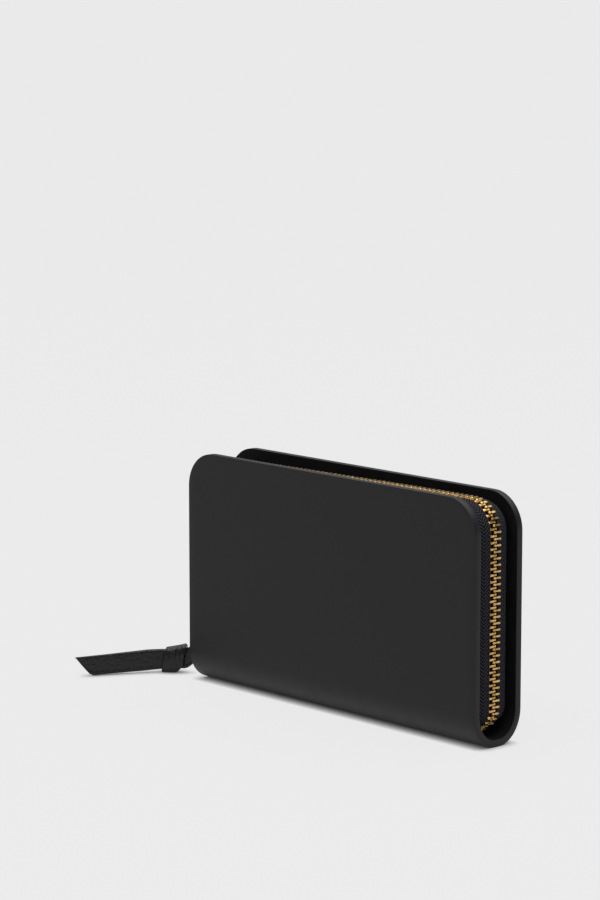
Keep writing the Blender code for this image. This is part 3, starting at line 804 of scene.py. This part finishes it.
def make_zip_tapes():
    """Each half: a woven strip that rounds down from the chain and is sewn in under the lining."""
    section = [(y * MM, tape_recess(y * MM)) for y in TAPE_WEB_Y]
    section += [(y * MM, recess * MM) for y, recess in TAPE_HEM]
    across = lengths_along([Vector((y, recess, 0)) for y, recess in section])
    marks = rail_stations()
    for word, side in (("back", 1), ("front", -1)):
        rows = []
        for along in marks:
            where = station(along)
            row = []
            for y, recess in section:
                x, z, _ = rail_point(where, recess)
                width = min(y, bend_half(z, WALL) - 0.28 * MM)
                row.append((x, side * width, z))
            rows.append(row)
        name = f"zip_weave_{word}"
        obj = grid(name, rows, [TAPE], lambda a, b: (marks[a] / MM, across[b] / MM))
        outward(obj)
        thicken(obj, 0.3 * MM)
        smooth(obj, 60)
        place(obj, word, "zip_tape", f"zip_tape_{word}")
        cord = make_tape_cord(word, side, marks)


def make_tape_cord(word, side, marks):
    """The thick edge of one tape, which its row of teeth bites on."""
    rings = []
    for along in marks:
        x, z, angle = rail_point(station(along), CHAIN_RECESS)
        ring = []
        for k in range(CORD_SIDES):
            turn = 2 * math.pi * k / CORD_SIDES
            reach = CORD_R * math.cos(turn)
            y = CORD_Y + CORD_R * math.sin(turn)
            ring.append((x + reach * math.cos(angle), side * y, z + reach * math.sin(angle)))
        rings.append(ring)
    cord = loft(f"zip_cord_{word}", rings, [CORD], lambda a, b: (marks[a] / MM, b * CORD_SIDE_MM))
    smooth(cord, 60)
    return place(cord, word, "zip_tape")


# One tooth in millimetres, from its jaws on the cord to its nose in the middle of the chain:
# (distance from the middle, half its width along the chain, lowest, highest).
TOOTH_RINGS = (
    (3.06, 0.30, -0.60, 0.60),
    (2.98, 0.47, -0.95, 0.95),
    (2.75, 0.56, -1.10, 1.08),
    (2.2, 0.57, -1.10, 1.10),
    (1.5, 0.56, -1.10, 1.08),
    (1.15, 0.56, -1.02, 1.00),
    (0.8, 0.44, -0.80, 0.98),
    (0.45, 0.42, -0.74, 0.98),
    (0.15, 0.50, -0.88, 1.04),
    (-0.25, 0.60, -0.92, 1.08),
    (-0.62, 0.52, -0.75, 0.90),
    (-0.92, 0.26, -0.40, 0.50),
)
# A tooth's outline at one distance, as (share of half its width, share of half its height).
TOOTH_SECTION = (
    (1, -0.65),
    (1, 0.65),
    (0.68, 1),
    (-0.68, 1),
    (-1, 0.65),
    (-1, -0.65),
    (-0.68, -1),
    (0.68, -1),
)


def tooth_row(name, frames, side, scale, material):
    """One mesh of teeth. A frame is (middle, tangent, outward normal) of a tooth."""
    points, faces = [], []
    wide = len(TOOTH_SECTION)
    for middle, tangent, normal in frames:
        first = len(points)
        tilt = random.uniform(-0.02, 0.02)
        for across, half, low, high in TOOTH_RINGS:
            for a, c in TOOTH_SECTION:
                lift = (low + high) / 2 + (high - low) / 2 * c
                slide = half * a + tilt * across
                away = Vector((0, side * across * scale, 0))
                points.append(middle + tangent * slide * scale + normal * lift * scale + away)
        for i in range(len(TOOTH_RINGS) - 1):
            for k in range(wide):
                p, q = first + i * wide + k, first + i * wide + (k + 1) % wide
                faces.append((p, q, q + wide, p + wide))
        faces.append(tuple(first + k for k in range(wide)))
        last = first + (len(TOOTH_RINGS) - 1) * wide
        faces.append(tuple(last + k for k in range(wide)))
    mesh = bpy.data.meshes.new(name)
    mesh.from_pydata(points, [], faces)
    return smooth(outward(link(name, mesh, [material])), 50)


def rail_frames(first, last, side):
    """The teeth's frames between two distances along the chain; the two sides' teeth alternate."""
    offset = 0.0 if side < 0 else TOOTH_PITCH / 2
    frames = []
    along = 0.8 * MM + offset
    while along < last:
        if along >= first:
            x, z, angle = rail_point(station(along), CHAIN_RECESS)
            tangent = Vector((-math.sin(angle), 0, math.cos(angle)))
            normal = Vector((math.cos(angle), 0, math.sin(angle)))
            frames.append((Vector((x, 0, z)), tangent, normal))
        along += TOOTH_PITCH
    return frames


def make_teeth():
    """Two rows a side: round the wallet, and down the left end, where the slider travels."""
    split = LEFT_RUN_START - 1.0 * MM
    final = LEFT_RUN_START + TOP - CORNER_R - TEETH_END_Z
    for word, side in (("back", 1), ("front", -1)):
        row = tooth_row(f"teeth_{word}", rail_frames(0.0, split, side), side, MM, BRASS)
        place(row, word, "brass", f"zip_teeth_{word}")
        row = tooth_row(f"teeth_{word}_left", rail_frames(split, final, side), side, MM, BRASS)
        place(row, word, "brass", f"zip_teeth_{word}_left")
        refine(f"zip_top_stop_{word}", f"top_stop_{word}", word, 0.35 * MM, "brass", BRASS, 3)
    refine("zip_bottom_stop", "bottom_stop", "back", 0.35 * MM, "brass", BRASS, 3)


# The slider and its pull.


def make_slider():
    refine("slider_body", "slider", "slider", 0.28 * MM, "brass", SLIDER_BRASS, 3)
    refine("slider_bail", "bail", "slider", 0.45 * MM, "brass", SLIDER_BRASS, 3)


# The strap's middle line from the bail to the tip, seen from above, in millimetres from the bail.
STRAP_ROUTE = (
    (0, 0),
    (-6.6, -3.9),
    (-13.2, -8.6),
    (-17.8, -13.4),
    (-22.2, -20.6),
    (-28.4, -31.4),
    (-35.2, -45.8),
)
STRAP_AT_BAIL_Z = 11.8 * MM
STRAP_ON_FLOOR_Z = 6.4 * MM
STRAP_WIDE_AT_BAIL = 6.9 * MM
STRAP_WIDENS = 2.1 * MM
STRAP_TIP_SINKS = 1.85 * MM


def strap_line(share):
    """The strap's middle line in X and Y at a share of its run from the bail to the tip."""
    points = [Vector((BAIL_X + x * MM, y * MM)) for x, y in STRAP_ROUTE]
    padded = [2 * points[0] - points[1], *points, 2 * points[-1] - points[-2]]
    spot = min(share, 0.99999) * (len(points) - 1)
    span = int(spot)
    t = spot - span
    a, b, c, d = padded[span : span + 4]
    return 0.5 * (
        2 * b + (c - a) * t + (2 * a - 5 * b + 4 * c - d) * t * t + (3 * b - a - 3 * c + d) * t ** 3
    )


def strap_heading(share):
    return (strap_line(min(1.0, share + 0.004)) - strap_line(max(0.0, share - 0.004))).normalized()


def strap_edges(share):
    """The strap's lower and upper edge."""
    drop = min(1.0, max(0.0, share - 0.03) / 0.21)
    ease = drop * drop * (3 - 2 * drop)
    middle = STRAP_AT_BAIL_Z + (STRAP_ON_FLOOR_Z - STRAP_AT_BAIL_Z) * ease
    middle -= STRAP_TIP_SINKS * max(0.0, (share - 0.3) / 0.7)
    half = (STRAP_WIDE_AT_BAIL + STRAP_WIDENS * ease) / 2
    return middle - half, middle + half


# Heights of the points round one layer, from its lower edge, -1, to its upper edge, 1.
STRAP_UPS = (
    *(-1.0, -0.96, -0.86, -0.76, -0.68, -0.62, -0.56, -0.45),
    *(-0.2, 0.1, 0.4, 0.7, 0.88, 0.96, 1.0),
)


def strap_section():
    """One layer's outline as (across, height share): full along its lower edge, then a pressed line."""
    outline = []
    for up in STRAP_UPS:
        edge = max(0.0, abs(up) - 0.84) / 0.16
        across = math.sqrt(max(0.0, 1 - edge * edge)) * 0.97 + 0.03
        across += 0.30 * math.exp(-(((up + 0.78) / 0.12) ** 2)) * (1 - edge)
        across -= 0.26 * math.exp(-(((up + 0.60) / 0.07) ** 2))
        outline.append((across, up))
    return outline + [(-across, up) for across, up in reversed(outline)]


def strap_path():
    """(share, middle, outward) from one tip, round the bail, to the other tip."""
    loop_r = BAIL_CLEAR_R + STRAP_HALF
    count, first = 64, 7
    layers = []
    for sign in (1, -1):
        layer = []
        for i in range(first, count + 1):
            share = i / count
            heading = strap_heading(share)
            across = Vector((-heading.y, heading.x))
            apart = STRAP_APART + (loop_r - STRAP_APART) * max(0.0, 1 - share * 3.6) ** 2
            apart += 0.12 * MM * math.sin(share * 9.0 + sign)
            layer.append((share, strap_line(share) + across * apart * sign, across * sign))
        layers.append(layer)
    heading = strap_heading(0.0)
    turn = math.atan2(heading.y, heading.x)
    loop = []
    loop_steps = 14
    for i in range(loop_steps + 1):
        angle = turn + math.pi / 2 + math.pi * i / loop_steps
        out = Vector((math.cos(angle), math.sin(angle)))
        loop.append((0.0, Vector((BAIL_X, 0.0)) + out * loop_r, out))
    return list(reversed(layers[0])) + loop + layers[1]


def make_strap():
    """One strip looped round the bail, with its two ends laid together and cut slanting."""
    path = strap_path()
    section = strap_section()
    tip_wide = 0.7 * MM
    rings = []
    for number, (share, middle, out) in enumerate(path):
        low, high = strap_edges(share)
        rear = number < len(path) / 2
        cut = 0.93 if rear else 0.915
        if share > cut:
            part = (share - cut) / (1 - cut)
            low += (high - low - tip_wide) * min(1.0, part) ** 1.1
        taper = 0.35 * MM if rear else 1.0 * MM
        high -= taper * max(0.0, (share - 0.6) / 0.4) ** 1.5
        high -= 0.55 * MM * max(0.0, 1 - abs(share - 0.38) / 0.22)
        thin = 1.0 - 0.35 * max(0.0, (share - 0.9) / 0.1)
        ring = []
        for a, up in section:
            z = (low + high) / 2 + (high - low) / 2 * up
            wave = 0.16 * MM * noise.noise(Vector((middle.x * 130, middle.y * 130, z * 130)))
            reach = STRAP_HALF * a * thin + wave
            ring.append((middle.x + out.x * reach, middle.y + out.y * reach, z))
        rings.append(ring)
    return loft("strap", rings, [PULL])


KNOT_AT = 5.9 / 18  # share of the strap's run
KNOT_HALF = 4.5 * MM
KNOT_MIDDLE_Z = 6.0 * MM
KNOT_TALL = 5.85 * MM
KNOT_REACH = 2.85 * MM
KNOT_BELLY = 0.75 * MM
KNOT_NARROWS = 0.45 * MM
# (place along the band, depth, slant with height, width) of each fold crease
KNOT_CREASES = (
    (-0.30, 0.55, 0.30, 0.085),
    (-0.02, 0.22, 0.42, 0.06),
    (-0.62, 0.30, 0.16, 0.07),
    (0.62, 0.20, -0.12, 0.10),
    (0.88, 0.16, -0.05, 0.05),
)


def knot_point(t, height):
    """How far along the strap a point of the band lies: it leans, and its lower corner is cut off."""
    along = t * KNOT_HALF - 0.19 * (height - KNOT_MIDDLE_Z)
    if t < 0:
        along -= t * 2.3 * MM * max(0.0, (3.4 * MM - height) / (3.4 * MM)) ** 1.2
        along -= t * 1.0 * MM * max(0.0, (height - 11.0 * MM) / (1.7 * MM)) ** 2
    return along


def make_knot():
    """The strap's own wrap round both layers: a broad band with rolled ends and fold creases."""
    middle = strap_line(KNOT_AT)
    heading = strap_heading(KNOT_AT)
    across = Vector((-heading.y, heading.x))
    ends = ((0.955, 0.70), (0.985, 0.80), (1.0, 0.90), (0.985, 0.97), (0.95, 1.0))
    steps, sides = 34, 72
    stations = [(-t, size) for t, size in ends]
    stations += [(-0.9 + 1.8 * i / steps, 1.0) for i in range(steps + 1)]
    stations += [(t, size) for t, size in reversed(ends)]
    rings = []
    for t, size in stations:
        ring = []
        for k in range(sides):
            a = 2 * math.pi * k / sides
            c, s = math.cos(a), math.sin(a)
            flat = math.copysign(abs(c) ** 0.6, c)
            up = math.copysign(abs(s) ** 0.55, s)
            tall = KNOT_TALL - KNOT_NARROWS * t
            height = KNOT_MIDDLE_Z - KNOT_NARROWS * t + tall * up * (0.9 + 0.1 * size)
            belly = KNOT_BELLY * (1 - t * t) * (1 - up * up)
            crease = sum(
                depth * math.exp(-(((t - at - slant * up) / width) ** 2))
                for at, depth, slant, width in KNOT_CREASES
            )
            full = (KNOT_REACH + belly) * abs(flat)
            reach = (full - 0.9 * crease * MM * flat * flat) * size
            wrinkle = 0.10 * MM * noise.noise(Vector((t * 4.0, up * 2.2, flat * 2.0 + 5.0)))
            reach += wrinkle * abs(flat)
            spot = middle + heading * knot_point(t, height) + across * math.copysign(reach, flat)
            ring.append((spot.x, spot.y, height))
        rings.append(ring)
    return loft("knot", rings, [PULL])


def make_pull():
    strap = smooth(make_strap(), 60)
    place(strap, "pull", "pull_leather", "pull_strap")
    knot = smooth(make_knot(), 70)
    place(knot, "pull", "pull_leather", "pull_knot")


# The coin pocket.


COIN_WALL_THICK = 0.55 * MM
COIN_TOOTH_PITCH = 2.0 * MM
COIN_TOOTH_SCALE = 0.69 * MM
COIN_GUSSET_R = 4 * MM


def make_coin_pocket():
    """Two walls with their zip along the top, and the small brass parts on it."""
    for word, side in (("back", 1), ("front", -1)):
        make_coin_wall(word, side)
        make_coin_tape(word, side)
        make_coin_teeth(word, side)
    make_coin_gusset()
    for word in ("start", "end"):
        refine(f"coin_stop_{word}", f"coin_clamp_{word}", "center", 0.3 * MM, "brass", BRASS)
    refine("coin_slider", "coin_runner", "coin_slider", 0.22 * MM, "brass", SLIDER_BRASS)
    refine("coin_bail", "coin_hoop", "coin_slider", 0.3 * MM, "brass", SLIDER_BRASS)
    refine("coin_pull", "coin_tab", "coin_pull", 0.2 * MM, "brass", SLIDER_BRASS)


def make_coin_wall(word, side):
    """One wall, sewn along all four of its edges."""
    node = f"coin_wall_{word}"
    low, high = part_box(node)
    inner, outer = (low.y, high.y) if side > 0 else (high.y, low.y)
    half = high.x
    name = f"coin_panel_{word}"
    face = inner + side * 0.6 * MM
    obj = leather_panel(name, -side, face, half, low.z, high.z, 3 * MM, COIN_WALL_THICK)
    place(obj, "center", "inner_leather", node)
    x = half - 1.6 * MM
    bottom, top = low.z + 1.6 * MM, high.z - 3.2 * MM
    normal = (0, side, 0)
    lines = [
        ([(x, outer, top), (x, outer, bottom), (-x, outer, bottom), (-x, outer, top)], normal),
        ([(-x, outer, top), (x, outer, top)], normal),
    ]
    place(stitches(f"coin_stitches_{word}", lines, 0.06 * MM), "center", "inner_leather")


def make_coin_teeth(word, side):
    low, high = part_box(f"coin_teeth_{word}")
    z = (low.z + high.z) / 2
    x = low.x + 0.35 * MM
    frames = []
    while x < high.x:
        frames.append((Vector((x, 0, z)), Vector((-1, 0, 0)), Vector((0, 0, 1))))
        x += COIN_TOOTH_PITCH
    row = tooth_row(f"coin_row_{word}", frames, side, COIN_TOOTH_SCALE, BRASS)
    place(row, "center", "brass", f"coin_teeth_{word}")


def make_coin_tape(word, side):
    low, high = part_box(f"coin_tape_{word}")
    y = (low.y + high.y) / 2
    heights = [low.z + (high.z - low.z) * i / 8 for i in range(9)]
    rows = []
    count = 40
    step = (high.x - low.x) / count
    for i in range(count + 1):
        x = low.x + step * i
        rows.append([(x, y + side * 0.05 * MM * math.sin(z * 1400), z) for z in heights])
    name = f"coin_weave_{word}"
    obj = grid(name, rows, [COIN_TAPE], lambda a, b: (a * step / MM, (heights[b] - low.z) / MM))
    outward(obj)
    thicken(obj, 0.36 * MM, bevel=0.1 * MM)
    smooth(obj, 60)
    place(obj, "center", "zip_tape", f"coin_tape_{word}")


def make_coin_gusset():
    """The strip that joins the two coin walls round their sides and bottom, folded inwards."""
    low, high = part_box("coin_gusset")
    outer = [(-high.x, 0, high.z), (-high.x, 0, low.z), (high.x, 0, low.z), (high.x, 0, high.z)]
    route = rounded_route(outer, COIN_GUSSET_R, 8)
    spans = lengths_along(route)
    rows = []
    half = high.y
    for p in route:
        inward = Vector((0, 0, 0))
        if abs(p.x) > high.x - COIN_GUSSET_R:
            inward.x = -math.copysign(1, p.x)
        if p.z < low.z + COIN_GUSSET_R:
            inward.z = 1
        inward.normalize()
        row = []
        for k in range(9):
            share = 2 * k / 8 - 1
            fold = 0.9 * MM * (1 - abs(share))
            at = p + inward * (fold + 0.25 * MM)
            row.append((at.x, share * half, at.z))
        rows.append(row)
    obj = grid("coin_strip", rows, [TWILL], lambda a, b: (spans[a] / MM, b * 0.5))
    outward(obj)
    thicken(obj, 0.4 * MM)
    smooth(obj, 60)
    place(obj, "center", "gusset_cloth", "coin_gusset")


# The stage.


FLOOR_HALF = 40.0
# How far the floor's painted contact shadow reaches.
CONTACT_SHADOW = 4.5 * MM


def make_floor():
    """A pale sheet that glows evenly, darker only close to what stands on it, where a contact shadow is
    painted into its glow.
    """
    mesh = bpy.data.meshes.new("floor")
    corners = [(FLOOR_HALF * x, FLOOR_HALF * y, 0) for x, y in ((-1, -1), (1, -1), (1, 1), (-1, 1))]
    mesh.from_pydata(corners, [], [(0, 1, 2, 3)])
    material = bpy.data.materials.new("paper")
    material.use_nodes = True
    nodes, links = material.node_tree.nodes, material.node_tree.links
    nodes.clear()
    glow = nodes.new("ShaderNodeEmission")
    # Ambient occlusion dims the glow's colour near the wallet: a painted contact shadow, not cast by a
    # lamp.
    near = nodes.new("ShaderNodeAmbientOcclusion")
    near.inputs["Distance"].default_value = CONTACT_SHADOW
    near.samples = 8
    near.inputs["Color"].default_value = (0.775, 0.775, 0.775, 1)
    links.new(near.outputs["Color"], glow.inputs["Color"])
    matte = nodes.new("ShaderNodeBsdfDiffuse")
    matte.inputs["Color"].default_value = (0.04, 0.04, 0.04, 1)
    both = nodes.new("ShaderNodeAddShader")
    links.new(glow.outputs[0], both.inputs[0])
    links.new(matte.outputs[0], both.inputs[1])
    links.new(both.outputs[0], nodes.new("ShaderNodeOutputMaterial").inputs["Surface"])
    floor = link("floor", mesh, [material])


# (towards, cosine where it starts, cosine where it is full, colour, radiance)
WORLD_LOBES = (
    ((0, 0, 1), -1.2, -1.1, (0.92, 0.94, 1.0), 0.2),
    ((0, 0, 1), 0.45, 0.85, (1.0, 1.0, 0.98), 1.7),
    ((-0.72, 0.69, 0.1), 0.2, 0.95, (1.0, 1.0, 1.0), 0.14),
    ((0.6, 0.75, 0.25), 0.6, 0.98, (1.0, 1.0, 1.0), 0.15),
)


def make_world():
    """Soft studio light: dim round the horizon, a broad light overhead and a pale backdrop behind."""
    world = bpy.data.worlds.new("studio")
    world.use_nodes = True
    nodes, links = world.node_tree.nodes, world.node_tree.links
    nodes.clear()
    towards = nodes.new("ShaderNodeTexCoord").outputs["Generated"]

    def lobe(direction, start, end, colour, strength):
        dot = nodes.new("ShaderNodeVectorMath")
        dot.operation = "DOT_PRODUCT"
        links.new(towards, dot.inputs[0])
        dot.inputs[1].default_value = Vector(direction).normalized()
        shape = nodes.new("ShaderNodeMapRange")
        shape.interpolation_type = "SMOOTHSTEP"
        shape.inputs["From Min"].default_value = start
        shape.inputs["From Max"].default_value = end
        shape.inputs["To Max"].default_value = strength
        links.new(dot.outputs["Value"], shape.inputs["Value"])
        light = nodes.new("ShaderNodeBackground")
        light.inputs["Color"].default_value = (*colour, 1)
        links.new(shape.outputs["Result"], light.inputs["Strength"])
        return light.outputs[0]

    total = None
    for lobe_data in WORLD_LOBES:
        light = lobe(*lobe_data)
        if total is not None:
            both = nodes.new("ShaderNodeAddShader")
            links.new(total, both.inputs[0])
            links.new(light, both.inputs[1])
            light = both.outputs[0]
        total = light
    seen = nodes.new("ShaderNodeBackground")
    seen.inputs["Color"].default_value = (0.83, 0.83, 0.83, 1)
    path = nodes.new("ShaderNodeLightPath")
    mix = nodes.new("ShaderNodeMixShader")
    links.new(path.outputs["Is Camera Ray"], mix.inputs["Fac"])
    links.new(total, mix.inputs[1])
    links.new(seen.outputs[0], mix.inputs[2])
    links.new(mix.outputs[0], nodes.new("ShaderNodeOutputWorld").inputs["Surface"])
    bpy.context.scene.world = world


def area_light(name, spot, target, size, power):
    data = bpy.data.lights.new(name, "AREA")
    data.shape = "RECTANGLE"
    data.size, data.size_y = size
    data.energy = power
    obj = bpy.data.objects.new(name, data)
    bpy.context.scene.collection.objects.link(obj)
    obj.location = spot
    obj.rotation_euler = (Vector(target) - Vector(spot)).to_track_quat("-Z", "Y").to_euler()


CAMERA_AT = (0.93153, -0.8923, 0.31583)
CAMERA_LENS_MM = 127.76
CAMERA_LOOKS_DOWN = 9.119
CAMERA_TURN = 47.125


def make_camera():
    data = bpy.data.cameras.new("camera")
    data.lens = CAMERA_LENS_MM
    data.sensor_width = 36.0
    data.clip_start, data.clip_end = 0.05, 100.0
    camera = bpy.data.objects.new("camera", data)
    bpy.context.scene.collection.objects.link(camera)
    camera.location = CAMERA_AT
    camera.rotation_euler = (math.radians(90 - CAMERA_LOOKS_DOWN), 0, math.radians(CAMERA_TURN))
    bpy.context.scene.camera = camera


make_camera()
make_world()
make_floor()
area_light("top_light", spot=(0.15, -0.35, 1.1), target=(0, 0, 0.05), size=(0.9, 0.6), power=4.0)
bpy.context.scene.view_settings.view_transform = "Standard"

make_cover()
make_lining()
make_card_slots()
make_gussets()
make_zip_tapes()
make_teeth()
make_slider()
make_pull()
make_coin_pocket()
